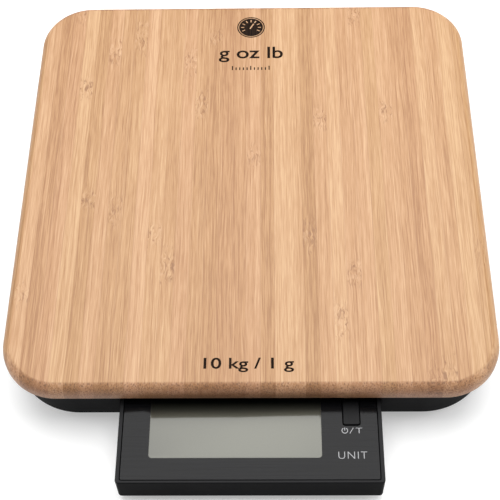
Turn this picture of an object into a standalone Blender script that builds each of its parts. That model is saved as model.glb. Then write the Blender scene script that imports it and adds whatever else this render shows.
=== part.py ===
"""Electronic kitchen scale: a bamboo platform on a load cell, a black base,
and a display drawer that pulls out of the base's front wall.

The origin is on the surface that the scale stands on, at the middle of the
whole object with its drawer pulled out. +Y is the back, +Z is up.
"""

import math

import bmesh
import bpy
from mathutils import Matrix, Vector

MM = 0.001
GAP = 0.3 * MM  # between neighbouring pieces

# Platform: a laminated board with a crisp, convex bevel above and a round below.
PLATFORM_WIDTH = 225.0 * MM
PLATFORM_DEPTH = 232.0 * MM
PLATFORM_THICK = 10.0 * MM
PLATFORM_TOP = 33.3 * MM
PLATFORM_CORNER = 26.0 * MM
BEVEL_INSET = 4.1 * MM
BEVEL_DROP = 5.6 * MM
UNDER_ROUND = 2.5 * MM

# Base: a tray with a deck over it.
BASE_SIDE_INSET = 1.2 * MM
BASE_END_INSET = 2.8 * MM
BASE_CORNER = 32.7 * MM
BASE_BOTTOM = 2.0 * MM
BASE_TOP = 21.8 * MM
BASE_WALL = 1.8 * MM
BASE_FLOOR = 1.5 * MM
BASE_EDGE = 3.0 * MM
DECK_THICK = 1.4 * MM

# Display drawer, pulled out.
DRAWER_WIDTH = 117.0 * MM
DRAWER_REACH = 153.4 * MM  # platform centre to the drawer's front face
DRAWER_DEPTH = 57.4 * MM
DRAWER_TOP = 19.6 * MM
DRAWER_BOTTOM = 3.85 * MM
DRAWER_TRAVEL = 39.6 * MM
DRAWER_CORNER = 1.5 * MM
DRAWER_RUN = 0.5 * MM  # clearance at each side of the front cut-out
RIM_SIDE = 1.8 * MM
RIM_FRONT = 1.2 * MM
TRAY_FLOOR = 1.5 * MM
TRAY_LEDGE = 1.5 * MM
TAB_OUT = 2.0 * MM
TAB_LENGTH = 4.0 * MM
TAB_LOW = 6.0 * MM
TAB_HIGH = 12.0 * MM

# Display plate, window and keys: places from the platform's centre.
FILM_THICK = 0.3 * MM
FILM_SINK = 0.1 * MM
COVER_THICK = 1.5 * MM
WINDOW_X = -6.5 * MM
WINDOW_FRONT = -142.2 * MM
WINDOW_SIZE = (76.6 * MM, 36.0 * MM)
WINDOW_CORNER = 1.6 * MM
KEY_X = 44.9 * MM
TARE_Y = -120.5 * MM
TARE_SIZE = (7.4 * MM, 12.0 * MM)
TARE_PROUD = 0.5 * MM
UNIT_Y = -140.7 * MM
KEY_CLEAR = 0.4 * MM

# Electronics of the drawer.
PCB_LOW = 8.8 * MM
PCB_THICK = 1.2 * MM
PCB_SIZE = (106.0 * MM, 48.0 * MM)
SWITCH_SIZE = 6.0 * MM
SWITCH_HIGH = 13.8 * MM
KEY_FOOT = 14.4 * MM
LCD_LOW = 15.2 * MM
LCD_THICK = 1.8 * MM
LCD_MARGIN = 3.0 * MM

# Load cell: a bar along X at the platform's centre.
CELL_LENGTH = 80.0 * MM
CELL_SIDE = 12.7 * MM
CELL_LOW = 7.0 * MM
CELL_HOLES = (20.0 * MM, 35.0 * MM)
CELL_HOLE_R = 2.3 * MM
CELL_EYE_R = 4.4 * MM
CELL_EYE_X = 6.5 * MM
OVERLOAD_GAP = 0.8 * MM
BRACKET_SIZE = (112.0 * MM, 46.0 * MM)
BRACKET_THICK = 1.5 * MM
BRACKET_SCREW = (48.0 * MM, 16.0 * MM)

# Battery bay, behind the load cell.
CELL_AAA_R = 5.25 * MM
CELL_AAA_LENGTH = 44.5 * MM
BAY_Y = 62.0 * MM
BAY_SIZE = (52.0 * MM, 22.4 * MM)
BAY_WALL = 1.2 * MM
BAY_ROOF = 15.0 * MM
DOOR_SIZE = (54.0 * MM, 24.0 * MM)

# Feet and screws.
FOOT_R = 6.0 * MM
FOOT_AT = (85.0 * MM, 88.0 * MM)
FOOT_RECESS = 0.6 * MM
BASE_SCREW_AT = (95.0 * MM, 60.0 * MM)
SCREW_R = 1.3 * MM

# Terminal board, between the drawer and the load cell.
BOARD_AT = (30.0 * MM, -34.0 * MM)
BOARD_SIZE = (30.0 * MM, 16.0 * MM)
BOARD_LOW = 5.5 * MM

# The platform's centre, so that the pulled-out scale is centred on the origin.
CENTRE_Y = (DRAWER_REACH - PLATFORM_DEPTH / 2) / 2
BEVEL_ROUND = (BEVEL_INSET ** 2 + BEVEL_DROP ** 2) / (2 * BEVEL_INSET)
FLOOR_TOP = BASE_BOTTOM + BASE_FLOOR
PLATFORM_LOW = PLATFORM_TOP - PLATFORM_THICK
DECK_LOW = BASE_TOP - DECK_THICK
CELL_HIGH = CELL_LOW + CELL_SIDE
BASE_SIZE = (PLATFORM_WIDTH - 2 * BASE_SIDE_INSET, PLATFORM_DEPTH - 2 * BASE_END_INSET)
BASE_FRONT = -BASE_SIZE[1] / 2
DRAWER_FRONT = -DRAWER_REACH
DRAWER_BACK = DRAWER_FRONT + DRAWER_DEPTH
FILM_HIGH = DRAWER_TOP - FILM_SINK
FILM_LOW = FILM_HIGH - FILM_THICK
COVER_HIGH = FILM_LOW - GAP
COVER_LOW = COVER_HIGH - COVER_THICK
PLATE_SIZE = (
    DRAWER_WIDTH - 2 * (RIM_SIDE + GAP),
    DRAWER_DEPTH - RIM_FRONT - RIM_SIDE - 2 * GAP,
)
PLATE_Y = DRAWER_FRONT + RIM_FRONT + GAP + PLATE_SIZE[1] / 2
WINDOW_Y = WINDOW_FRONT + WINDOW_SIZE[1] / 2
PCB_HIGH = PCB_LOW + PCB_THICK
LCD_HIGH = LCD_LOW + LCD_THICK
BRACKET_HIGH = PLATFORM_LOW - GAP
BRACKET_LOW = BRACKET_HIGH - BRACKET_THICK
SIGNS = ((-1, -1), (1, -1), (-1, 1), (1, 1))

COLOURS = {
    "bamboo": ((0.70, 0.42, 0.25), 0.45, 0.0),
    "base_black": ((0.012, 0.012, 0.013), 0.42, 0.0),
    "deck_black": ((0.016, 0.016, 0.017), 0.50, 0.0),
    "drawer_black": ((0.014, 0.014, 0.015), 0.38, 0.0),
    "film_black": ((0.006, 0.006, 0.007), 0.16, 0.0),
    "key_black": ((0.020, 0.020, 0.021), 0.36, 0.0),
    "clear_plastic": ((0.80, 0.82, 0.80), 0.08, 0.0),
    "lcd": ((0.36, 0.37, 0.33), 0.20, 0.0),
    "white_plastic": ((0.75, 0.75, 0.72), 0.45, 0.0),
    "rubber": ((0.030, 0.030, 0.031), 0.85, 0.0),
    "zebra": ((0.30, 0.10, 0.12), 0.80, 0.0),
    "aluminium": ((0.78, 0.79, 0.80), 0.30, 1.0),
    "steel": ((0.56, 0.56, 0.57), 0.32, 1.0),
    "screw_steel": ((0.45, 0.45, 0.46), 0.28, 1.0),
    "circuit": ((0.02, 0.16, 0.06), 0.40, 0.0),
    "epoxy": ((0.010, 0.010, 0.010), 0.35, 0.0),
    "silicone": ((0.80, 0.80, 0.78), 0.55, 0.0),
    "battery": ((0.10, 0.11, 0.13), 0.35, 0.4),
    "cable": ((0.62, 0.62, 0.60), 0.50, 0.0),
}

for existing in list(bpy.data.objects):
    bpy.data.objects.remove(existing, do_unlink=True)


def collection(name):
    made = bpy.data.collections.new(name)
    bpy.context.scene.collection.children.link(made)
    return made


PARTS = collection("kitchen_scale")
CUTTERS = collection("cutters")
CUTTERS.hide_render = True


def material(slot):
    if slot in bpy.data.materials:
        return bpy.data.materials[slot]
    colour, roughness, metallic = COLOURS[slot]
    made = bpy.data.materials.new(slot)
    made.use_nodes = True
    shader = made.node_tree.nodes["Principled BSDF"]
    shader.inputs["Base Color"].default_value = (*colour, 1.0)
    shader.inputs["Roughness"].default_value = roughness
    shader.inputs["Metallic"].default_value = metallic
    return made


def finish(bm, name, slot=None):
    """Turn a bmesh into a named part, or into a cutter where no slot is given."""
    bmesh.ops.recalc_face_normals(bm, faces=bm.faces)
    mesh = bpy.data.meshes.new(name)
    bm.to_mesh(mesh)
    bm.free()
    made = bpy.data.objects.new(name, mesh)
    if slot is None:
        CUTTERS.objects.link(made)
        made.hide_render = True
        made.display_type = "WIRE"
        return made
    PARTS.objects.link(made)
    mesh.materials.append(material(slot))
    mesh.shade_smooth()
    mesh.set_sharp_from_angle(angle=math.radians(35))
    return made


def at(x, y, z=0.0):
    """A place given from the platform's centre, in the object's own frame."""
    return Vector((x, y + CENTRE_Y, z))


def add_block(bm, middle, size, low, high, corner=0.0, segments=4):
    """Add an upright block, its vertical edges rounded to the corner radius."""
    place = Matrix.Translation(at(*middle, (low + high) / 2))
    shape = Matrix.Diagonal((*size, high - low, 1.0))
    made = bmesh.ops.create_cube(bm, size=1.0, matrix=place @ shape)
    if corner > 0:
        edges = {edge for vertex in made["verts"] for edge in vertex.link_edges}
        upright = [e for e in edges if abs(e.verts[0].co.z - e.verts[1].co.z) > 1e-6]
        bmesh.ops.bevel(bm, geom=upright, offset=corner, segments=segments,
                        profile=0.5, affect="EDGES")


def add_rod(bm, middle, radius, low, high, sides=16, top_radius=None):
    """Add an upright cylinder, or a cone where the top radius differs."""
    place = Matrix.Translation(at(*middle, (low + high) / 2))
    end = radius if top_radius is None else top_radius
    bmesh.ops.create_cone(bm, cap_ends=True, segments=sides, radius1=radius,
                          radius2=end, depth=high - low, matrix=place)


def add_cross_rod(bm, middle, z, radius, length, axis, sides=16):
    """Add a lying cylinder along X or Y, centred on its middle."""
    turn = Matrix.Rotation(math.radians(90), 4, "Y" if axis == "X" else "X")
    bmesh.ops.create_cone(bm, cap_ends=True, segments=sides, radius1=radius,
                          radius2=radius, depth=length,
                          matrix=Matrix.Translation(at(*middle, z)) @ turn)


def add_turned(bm, middle, profile, sides=16):
    """Add a turned piece: (radius, height) points, from axis to axis."""
    ring = [bm.verts.new(at(*middle) + Vector((r, 0, z))) for r, z in profile]
    edges = [bm.edges.new(pair) for pair in zip(ring, ring[1:])]
    bmesh.ops.spin(bm, geom=ring + edges, cent=at(*middle), axis=(0, 0, 1),
                   angle=2 * math.pi, steps=sides, use_merge=True)
    bmesh.ops.remove_doubles(bm, verts=bm.verts, dist=1e-6)


def end_face(bm, side):
    """The highest flat face (side 1) or the lowest (side -1)."""
    level = [f for f in bm.faces if f.normal.z * side > 0.99]
    return max(level, key=lambda f: f.calc_center_median().z * side)


def step_edge(bm, side, inset, rise):
    """Carry the end face on by a rise, drawn in by an inset: one chamfer."""
    bm.normal_update()
    bmesh.ops.inset_region(bm, faces=[end_face(bm, side)], thickness=inset,
                           depth=rise, use_even_offset=True)


def round_edge(bm, side, radius, steps=3, turn=math.pi / 2):
    """Carry the end face on by an arc from upright, drawn as a few chamfers."""
    for index in range(steps):
        start = turn * index / steps
        stop = turn * (index + 1) / steps
        step_edge(bm, side, radius * (math.cos(start) - math.cos(stop)),
                  radius * (math.sin(stop) - math.sin(start)))


def block(name, slot, middle, size, low, high, corner=0.0, segments=4):
    bm = bmesh.new()
    add_block(bm, middle, size, low, high, corner, segments)
    return finish(bm, name, slot)


def combine(target, other, operation):
    modifier = target.modifiers.new(other.name, "BOOLEAN")
    modifier.operation = operation
    modifier.solver = "EXACT"
    modifier.object = other


def cut(target, name, build):
    """Cut a shape out of a part; build adds the shape to the bmesh it is given."""
    bm = bmesh.new()
    build(bm)
    combine(target, finish(bm, name), "DIFFERENCE")


def join(target, name, build):
    """Join a shape that overlaps the part into it."""
    bm = bmesh.new()
    build(bm)
    combine(target, finish(bm, name), "UNION")


def four(offset):
    """Four places, mirrored in X and Y about the platform's centre."""
    return [(sx * offset[0], sy * offset[1]) for sx, sy in SIGNS]


def empty(name, place):
    made = bpy.data.objects.new(name, None)
    made.empty_display_size = 8 * MM
    made.location = place
    PARTS.objects.link(made)
    return made


def hang(joint, *pieces):
    """Parent the pieces to a joint's empty, where they already lie."""
    for piece in pieces:
        piece.parent = joint
        piece.matrix_parent_inverse = Matrix.Translation(-joint.location)


# ---------------------------------------------------------------- platform

def build_platform():
    bm = bmesh.new()
    add_block(bm, (0, 0), (PLATFORM_WIDTH, PLATFORM_DEPTH), PLATFORM_LOW + UNDER_ROUND,
              PLATFORM_TOP - BEVEL_DROP, PLATFORM_CORNER, 10)
    round_edge(bm, 1, BEVEL_ROUND, 4, math.asin(BEVEL_DROP / BEVEL_ROUND))
    round_edge(bm, -1, UNDER_ROUND)
    board = finish(bm, "bamboo_platform", "bamboo")

    def pilots(bm):
        for spot in four(BRACKET_SCREW):
            add_rod(bm, spot, SCREW_R + GAP, PLATFORM_LOW - 1 * MM, PLATFORM_LOW + 6 * MM, 12)

    cut(board, "pilot_holes", pilots)
    return board


def build_bracket():
    bracket = block("platform_bracket", "steel", (0, 0), BRACKET_SIZE, BRACKET_LOW,
                    BRACKET_HIGH, 5 * MM)

    def holes(bm):
        for spot in four(BRACKET_SCREW):
            add_rod(bm, spot, SCREW_R + GAP, BRACKET_LOW - MM, BRACKET_HIGH + MM, 12)
        for x in CELL_HOLES:
            add_rod(bm, (x, 0), 3.4 * MM, BRACKET_LOW - MM, BRACKET_HIGH + MM)

    cut(bracket, "bracket_holes", holes)
    return bracket


def build_spacer():
    middle = (sum(CELL_HOLES) / 2, 0)
    spacer = block("load_cell_spacer", "steel", middle, (23 * MM, 12 * MM),
                   CELL_HIGH + GAP, BRACKET_LOW - GAP)

    def holes(bm):
        for x in CELL_HOLES:
            add_rod(bm, (x, 0), 2.1 * MM, CELL_HIGH - MM, BRACKET_LOW + MM, 12)

    cut(spacer, "spacer_holes", holes)
    return spacer


def screws(name, spots, head_r, head_low, head_high, tip):
    """Alike screws, numbered; the tip lies above or below the head."""
    near, far = (head_low, head_high) if tip < head_low else (head_high, head_low)
    profile = [(0, far), (head_r, far), (head_r, near), (SCREW_R, near),
               (SCREW_R, tip), (0, tip)]
    made = []
    for index, spot in enumerate(spots):
        bm = bmesh.new()
        add_turned(bm, spot, profile, 14)
        made.append(finish(bm, f"{name}_{index + 1}", "screw_steel"))
    return made


def build_platform_screws():
    into_board = screws("bracket_screw", four(BRACKET_SCREW), 2.8 * MM,
                        BRACKET_LOW - GAP - 1.1 * MM, BRACKET_LOW - GAP, PLATFORM_LOW + 5 * MM)
    into_cell = screws("spacer_screw", [(x, 0) for x in CELL_HOLES], 3.0 * MM,
                       BRACKET_LOW, BRACKET_HIGH - GAP, CELL_LOW + 3 * MM)
    return into_board + into_cell


# -------------------------------------------------------------------- base

def counterbore(radius, ledge, high):
    """A stepped hole from below the base: the head's bore, then the shank's."""
    low = BASE_BOTTOM - MM
    shank = SCREW_R + GAP
    return [(0, high), (shank, high), (shank, ledge), (radius, ledge), (radius, low), (0, low)]


def build_base_shell():
    bm = bmesh.new()
    add_block(bm, (0, 0), BASE_SIZE, BASE_BOTTOM + BASE_EDGE, BASE_TOP, BASE_CORNER, 10)
    round_edge(bm, -1, BASE_EDGE, 4)
    shell = finish(bm, "base_shell", "base_black")
    inner = [side - 2 * BASE_WALL for side in BASE_SIZE]

    def hollow(bm):
        add_block(bm, (0, 0), inner, FLOOR_TOP, BASE_TOP + MM, BASE_CORNER - BASE_WALL, 10)

    def drawer_mouth(bm):
        add_block(bm, (0, BASE_FRONT), (DRAWER_WIDTH + 2 * DRAWER_RUN, 6 * MM),
                  FLOOR_TOP, DECK_LOW)

    def battery_mouth(bm):
        size = [side + 2 * GAP for side in DOOR_SIZE]
        add_block(bm, (0, BAY_Y), size, BASE_BOTTOM - MM, FLOOR_TOP + MM, 1.5 * MM)

    def foot_recesses(bm):
        for spot in four(FOOT_AT):
            add_rod(bm, spot, FOOT_R + GAP, BASE_BOTTOM - MM, BASE_BOTTOM + FOOT_RECESS, 24)

    def bosses(bm):
        inside = BASE_BOTTOM + BASE_FLOOR / 2
        fixed_x = -sum(CELL_HOLES) / 2
        add_block(bm, (fixed_x, 0), (24 * MM, 13 * MM), inside, CELL_LOW - GAP)
        add_block(bm, (-fixed_x, 0), (16 * MM, 10 * MM), inside, CELL_LOW - OVERLOAD_GAP)
        add_block(bm, BOARD_AT, (22 * MM, 8 * MM), inside, BOARD_LOW - GAP)
        add_block(bm, (0, DRAWER_BACK + DRAWER_TRAVEL + 1.5 * MM), (100 * MM, 1.6 * MM),
                  inside, 9 * MM)
        for spot in four(BASE_SCREW_AT):
            add_rod(bm, spot, 4.6 * MM, inside, 6.3 * MM)

    def screw_holes(bm):
        for spot in four(BASE_SCREW_AT):
            add_turned(bm, spot, counterbore(3.1 * MM, 4.1 * MM, 7 * MM))
        for x in CELL_HOLES:
            add_turned(bm, (-x, 0), counterbore(3.3 * MM, 4.3 * MM, CELL_LOW))

    cut(shell, "base_hollow", hollow)
    cut(shell, "drawer_mouth", drawer_mouth)
    cut(shell, "battery_mouth", battery_mouth)
    cut(shell, "foot_recesses", foot_recesses)
    join(shell, "base_bosses", bosses)
    cut(shell, "base_screw_holes", screw_holes)
    return shell


def build_base_deck():
    size = [side - 2 * (BASE_WALL + GAP) for side in BASE_SIZE]
    deck = block("base_deck", "deck_black", (0, 0), size, DECK_LOW, BASE_TOP,
                 BASE_CORNER - BASE_WALL - GAP, 10)

    def opening(bm):
        size = [side + 8 * MM for side in BRACKET_SIZE]
        add_block(bm, (0, 0), size, DECK_LOW - MM, BASE_TOP + MM, 6 * MM)

    def posts(bm):
        for spot in four(BASE_SCREW_AT):
            add_rod(bm, spot, 4.0 * MM, 6.6 * MM, DECK_LOW + DECK_THICK / 2)

    def bores(bm):
        for spot in four(BASE_SCREW_AT):
            add_rod(bm, spot, SCREW_R + GAP, 5.6 * MM, 16 * MM, 12)

    cut(deck, "deck_opening", opening)
    join(deck, "deck_posts", posts)
    cut(deck, "deck_bores", bores)
    return deck


def build_feet():
    names = ("foot_front_left", "foot_front_right", "foot_rear_left", "foot_rear_right")
    high = BASE_BOTTOM + FOOT_RECESS - GAP
    soft = 0.5 * MM
    profile = [(0, high), (FOOT_R, high), (FOOT_R, soft), (FOOT_R - soft, 0), (0, 0)]
    feet = []
    for name, spot in zip(names, four(FOOT_AT)):
        bm = bmesh.new()
        add_turned(bm, spot, profile, 24)
        feet.append(finish(bm, name, "rubber"))
    return feet


def build_rails():
    inner = DRAWER_WIDTH / 2 + TAB_OUT + GAP
    wide = 1.8 * MM
    front = BASE_FRONT + BASE_WALL + GAP
    back = DRAWER_BACK + DRAWER_TRAVEL
    rails = []
    for name, side in (("drawer_rail_left", -1), ("drawer_rail_right", 1)):
        middle = (side * (inner + wide / 2), (front + back) / 2)
        rails.append(block(name, "deck_black", middle, (wide, back - front),
                           FLOOR_TOP + GAP, TAB_HIGH + 3 * MM))
    return rails


def build_load_cell():
    cell = block("load_cell", "aluminium", (0, 0), (CELL_LENGTH, CELL_SIDE), CELL_LOW, CELL_HIGH)
    middle = CELL_LOW + CELL_SIDE / 2

    def eyes(bm):
        for x in (-CELL_EYE_X, CELL_EYE_X):
            add_cross_rod(bm, (x, 0), middle, CELL_EYE_R, CELL_SIDE + 2 * MM, "Y", 20)

    def slot(bm):
        add_block(bm, (0, 0), (2 * CELL_EYE_X, CELL_SIDE + 2 * MM), middle - MM, middle + MM)

    def threads(bm):
        for x in CELL_HOLES:
            for side in (-1, 1):
                add_rod(bm, (side * x, 0), CELL_HOLE_R, CELL_LOW - MM, CELL_HIGH + MM, 14)

    cut(cell, "cell_eyes", eyes)
    cut(cell, "cell_slot", slot)
    cut(cell, "cell_threads", threads)
    gauge = block("strain_gauge_cover", "silicone", (0, -CELL_SIDE / 2 - GAP - 0.8 * MM),
                  (24 * MM, 1.6 * MM), CELL_LOW + 2 * MM, CELL_HIGH - 2 * MM, 0.4 * MM, 2)
    return cell, gauge


def build_base_screws():
    screws("base_screw", four(BASE_SCREW_AT), 2.8 * MM, 2.5 * MM, 3.7 * MM, 14 * MM)
    screws("load_cell_screw", [(-x, 0) for x in CELL_HOLES], 3.0 * MM, 2.5 * MM, 3.9 * MM,
           CELL_LOW + 9 * MM)


def build_battery_bay():
    outer = [side + 2 * BAY_WALL for side in BAY_SIZE]
    box = block("battery_box", "deck_black", (0, BAY_Y), outer, FLOOR_TOP + GAP,
                BAY_ROOF + BAY_WALL, 1.5 * MM)

    def hollow(bm):
        add_block(bm, (0, BAY_Y), BAY_SIZE, FLOOR_TOP - MM, BAY_ROOF)

    cut(box, "bay_hollow", hollow)
    return box


def battery_places():
    return [BAY_Y + side * (CELL_AAA_R + GAP) for side in (-1, 1)]


def add_lying_turned(bm, middle, z, profile, sides):
    """Add a turned piece lying along X: (radius, distance along X) points."""
    made = bmesh.new()
    add_turned(made, (0, -CENTRE_Y), profile, sides)
    place = Matrix.Translation(at(*middle, z)) @ Matrix.Rotation(math.radians(90), 4, "Y")
    made.transform(place)
    mesh = bpy.data.meshes.new("turned")
    made.to_mesh(mesh)
    made.free()
    bm.from_mesh(mesh)
    bpy.data.meshes.remove(mesh)


def build_batteries():
    half = CELL_AAA_LENGTH / 2
    nub = 1.0 * MM
    profile = [(0, -half), (CELL_AAA_R - 0.6 * MM, -half), (CELL_AAA_R, -half + 0.6 * MM),
               (CELL_AAA_R, half - nub - 0.6 * MM), (CELL_AAA_R - 0.6 * MM, half - nub),
               (1.9 * MM, half - nub), (1.9 * MM, half), (0, half)]
    batteries = []
    for index, y in enumerate(battery_places()):
        side = -1 if index else 1
        bm = bmesh.new()
        add_lying_turned(bm, (0, y), battery_height(),
                         [(r, side * x) for r, x in profile], 20)
        batteries.append(finish(bm, f"battery_{index + 1}", "battery"))
    return batteries


def battery_height():
    return FLOOR_TOP + 0.7 * MM + CELL_AAA_R


def build_contacts():
    """At one end a plate that bridges both cells, at the other a plate for each."""
    height = battery_height()
    first, second = battery_places()
    ends = (("contact_bridge", -1, (first, second)), ("contact_plus", 1, (first,)),
            ("contact_minus", 1, (second,)))
    for name, side, rows in ends:
        face = side * (BAY_SIZE[0] / 2 - GAP)
        span = rows[-1] - rows[0] + 8 * MM
        middle = (face - side * 0.2 * MM, sum(rows) / len(rows))
        plate = block(name, "steel", middle, (0.4 * MM, span), height - 4 * MM, height + 4 * MM)
        tip = side * (CELL_AAA_LENGTH / 2 + GAP)
        profile = [(0, face - side * 0.2 * MM), (3.2 * MM, face - side * 0.2 * MM),
                   (2.0 * MM, tip), (0, tip)]

        def studs(bm):
            for y in rows:
                add_lying_turned(bm, (0, y), height, profile, 12)

        join(plate, f"{name}_studs", studs)


def build_battery_door():
    door = block("battery_door", "base_black", (0, BAY_Y), DOOR_SIZE, BASE_BOTTOM,
                 FLOOR_TOP, 1.2 * MM)
    hinge = empty("battery_door_hinge", at(0, BAY_Y - DOOR_SIZE[1] / 2, BASE_BOTTOM))
    hang(hinge, door)
    return door


def tube(name, slot, points, radius):
    """A wire: a round tube along a smooth curve through a few points."""
    curve = bpy.data.curves.new(name, "CURVE")
    curve.dimensions = "3D"
    curve.bevel_depth = radius
    curve.bevel_resolution = 1
    curve.use_fill_caps = True
    spline = curve.splines.new("POLY")
    smooth = smooth_path([at(*point) for point in points])
    spline.points.add(len(smooth) - 1)
    for target, place in zip(spline.points, smooth):
        target.co = (*place, 1.0)
    made = bpy.data.objects.new(name, curve)
    curve.materials.append(material(slot))
    PARTS.objects.link(made)
    return made


def smooth_path(points, steps=6):
    """Points on a Catmull-Rom curve through the given ones."""
    ends = [2 * points[0] - points[1], *points, 2 * points[-1] - points[-2]]
    path = []
    for a, b, c, d in zip(ends, ends[1:], ends[2:], ends[3:]):
        for index in range(steps):
            t = index / steps
            path.append(0.5 * (2 * b + (c - a) * t + (2 * a - 5 * b + 4 * c - d) * t * t
                               + (3 * b - a - 3 * c + d) * t ** 3))
    return path + [points[-1]]


def build_wiring():
    board = block("terminal_board", "circuit", BOARD_AT, BOARD_SIZE, BOARD_LOW,
                  BOARD_LOW + PCB_THICK)
    pad = BOARD_LOW + PCB_THICK + GAP + 1.1 * MM
    x, y = BOARD_AT
    gauge_y = -CELL_SIDE / 2 - 2 * GAP - 1.6 * MM
    sensor = tube("sensor_wires", "cable", [
        (2 * MM, gauge_y - 1.1 * MM, 12 * MM),
        (4 * MM, gauge_y - 6 * MM, 12 * MM),
        (12 * MM, y + 12 * MM, 11 * MM),
        (x - 9 * MM, y + 7 * MM, pad + 1.0 * MM),
        (x - 9 * MM, y + 3 * MM, pad),
    ], 1.0 * MM)
    power = tube("battery_wires", "cable", [
        (21 * MM, BAY_Y - BAY_SIZE[1] / 2 - BAY_WALL - GAP, 12 * MM),
        (24 * MM, BAY_Y - 20 * MM, 10 * MM),
        (50 * MM, 22 * MM, 7 * MM),
        (50 * MM, -10 * MM, 7 * MM),
        (x + 9 * MM, y + 9 * MM, pad + 0.6 * MM),
        (x + 9 * MM, y + 3 * MM, pad),
    ], 1.0 * MM)
    return board, sensor, power


def build_ribbon():
    """The flat lead from the drawer's circuit board to the terminal board."""
    wide = 10 * MM
    thick = 0.3 * MM
    start = (DRAWER_BACK - 6 * MM, PCB_HIGH + 2 * GAP)
    end = (BOARD_AT[1] - 4 * MM, BOARD_LOW + PCB_THICK + 2 * GAP)
    sag = [(start[0], start[1]), (DRAWER_BACK + 4 * MM, 12 * MM), (-75 * MM, 14 * MM),
           (-56 * MM, 12.5 * MM), (-46 * MM, 8.6 * MM), end]
    path = smooth_path([Vector((BOARD_AT[0], y, z)) for y, z in sag], 4)
    bm = bmesh.new()
    rows = [[bm.verts.new(at(p.x + side * wide / 2, p.y, p.z)) for side in (-1, 1)]
            for p in path]
    for here, after in zip(rows, rows[1:]):
        bm.faces.new((here[0], here[1], after[1], after[0]))
    ribbon = finish(bm, "ribbon_cable", "cable")
    solid = ribbon.modifiers.new("thickness", "SOLIDIFY")
    solid.thickness = thick
    solid.offset = 0
    return ribbon


# ------------------------------------------------------------------ drawer

def build_tray():
    middle = (0, (DRAWER_FRONT + DRAWER_BACK) / 2)
    size = (DRAWER_WIDTH, DRAWER_DEPTH)
    lip = 0.5 * MM
    bm = bmesh.new()
    add_block(bm, middle, size, DRAWER_BOTTOM + lip, DRAWER_TOP - lip, DRAWER_CORNER, 4)
    round_edge(bm, -1, lip, 1)
    round_edge(bm, 1, lip, 2)
    tray = finish(bm, "display_tray", "drawer_black")
    pocket = (PLATE_SIZE[0] + 2 * GAP, PLATE_SIZE[1] + 2 * GAP)
    inner = [side - 2 * TRAY_LEDGE for side in pocket]
    floor = DRAWER_BOTTOM + TRAY_FLOOR

    def hollow(bm):
        add_block(bm, (0, PLATE_Y), inner, floor, COVER_LOW)

    def plate_pocket(bm):
        add_block(bm, (0, PLATE_Y), pocket, COVER_LOW - GAP, DRAWER_TOP + MM, MM)

    def ribbon_slot(bm):
        add_block(bm, (BOARD_AT[0], DRAWER_BACK), (13 * MM, 12 * MM), 9.6 * MM, 13.4 * MM)

    def tabs_and_posts(bm):
        front = BASE_FRONT + BASE_WALL + GAP
        for side in (-1, 1):
            add_block(bm, (side * DRAWER_WIDTH / 2, front + TAB_LENGTH / 2),
                      (2 * TAB_OUT, TAB_LENGTH), TAB_LOW, TAB_HIGH)
        for spot in display_screw_places():
            add_rod(bm, spot, 2.4 * MM, floor - 0.5 * MM, PCB_LOW - GAP)

    def bores(bm):
        for spot in display_screw_places():
            add_rod(bm, spot, SCREW_R + GAP, floor + 0.4 * MM, PCB_LOW + MM, 12)

    cut(tray, "tray_hollow", hollow)
    cut(tray, "plate_pocket", plate_pocket)
    cut(tray, "ribbon_slot", ribbon_slot)
    join(tray, "tray_tabs", tabs_and_posts)
    cut(tray, "tray_bores", bores)
    return tray


def display_screw_places():
    x = PCB_SIZE[0] / 2 - 3.2 * MM
    y = PCB_SIZE[1] / 2 - 3.2 * MM
    return [(sx * x, PLATE_Y + sy * y) for sx, sy in SIGNS]


def window_cutter(bm, low, high):
    add_block(bm, (WINDOW_X, WINDOW_Y), WINDOW_SIZE, low - MM, high + MM, WINDOW_CORNER)


def tare_cutter(bm, low, high):
    size = [side + 2 * KEY_CLEAR for side in TARE_SIZE]
    add_block(bm, (KEY_X, TARE_Y), size, low - MM, high + MM, 1.4 * MM)


def build_cover_and_film():
    cover = block("display_cover", "drawer_black", (0, PLATE_Y), PLATE_SIZE, COVER_LOW,
                  COVER_HIGH, 0.8 * MM)
    film = block("overlay_film", "film_black", (0, PLATE_Y), PLATE_SIZE, FILM_LOW,
                 FILM_HIGH, 0.8 * MM)
    for plate, low, high in ((cover, COVER_LOW, COVER_HIGH), (film, FILM_LOW, FILM_HIGH)):
        cut(plate, f"{plate.name}_window", lambda bm: window_cutter(bm, low, high))
        cut(plate, f"{plate.name}_key_slot", lambda bm: tare_cutter(bm, low, high))
    cut(cover, "unit_key_hole", lambda bm: add_rod(bm, (KEY_X, UNIT_Y), 3.6 * MM,
                                                   COVER_LOW - MM, COVER_HIGH + MM, 20))
    return cover, film


def build_display():
    glass = [side + 2 * LCD_MARGIN for side in WINDOW_SIZE]
    lens_size = [side - 2 * GAP for side in WINDOW_SIZE]
    middle = (WINDOW_X, WINDOW_Y)
    lens = block("window_lens", "clear_plastic", middle, lens_size, LCD_HIGH + GAP,
                 FILM_HIGH, WINDOW_CORNER - GAP)
    lcd = block("lcd_glass", "lcd", middle, glass, LCD_LOW, LCD_HIGH)
    strip = 2.0 * MM
    holder_depth = glass[1] - 2 * (strip + 2 * GAP)
    holder = block("lcd_holder", "white_plastic", middle, (glass[0], holder_depth),
                   PCB_HIGH + GAP, LCD_LOW - GAP, 1 * MM, 2)
    zebra = []
    for name, side in (("zebra_strip_front", -1), ("zebra_strip_rear", 1)):
        y = WINDOW_Y + side * (glass[1] / 2 - strip / 2 - GAP)
        zebra.append(block(name, "zebra", (WINDOW_X, y), (glass[0] - 12 * MM, strip),
                           PCB_HIGH + GAP, LCD_LOW - GAP))
    return lens, lcd, holder, *zebra


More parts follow.
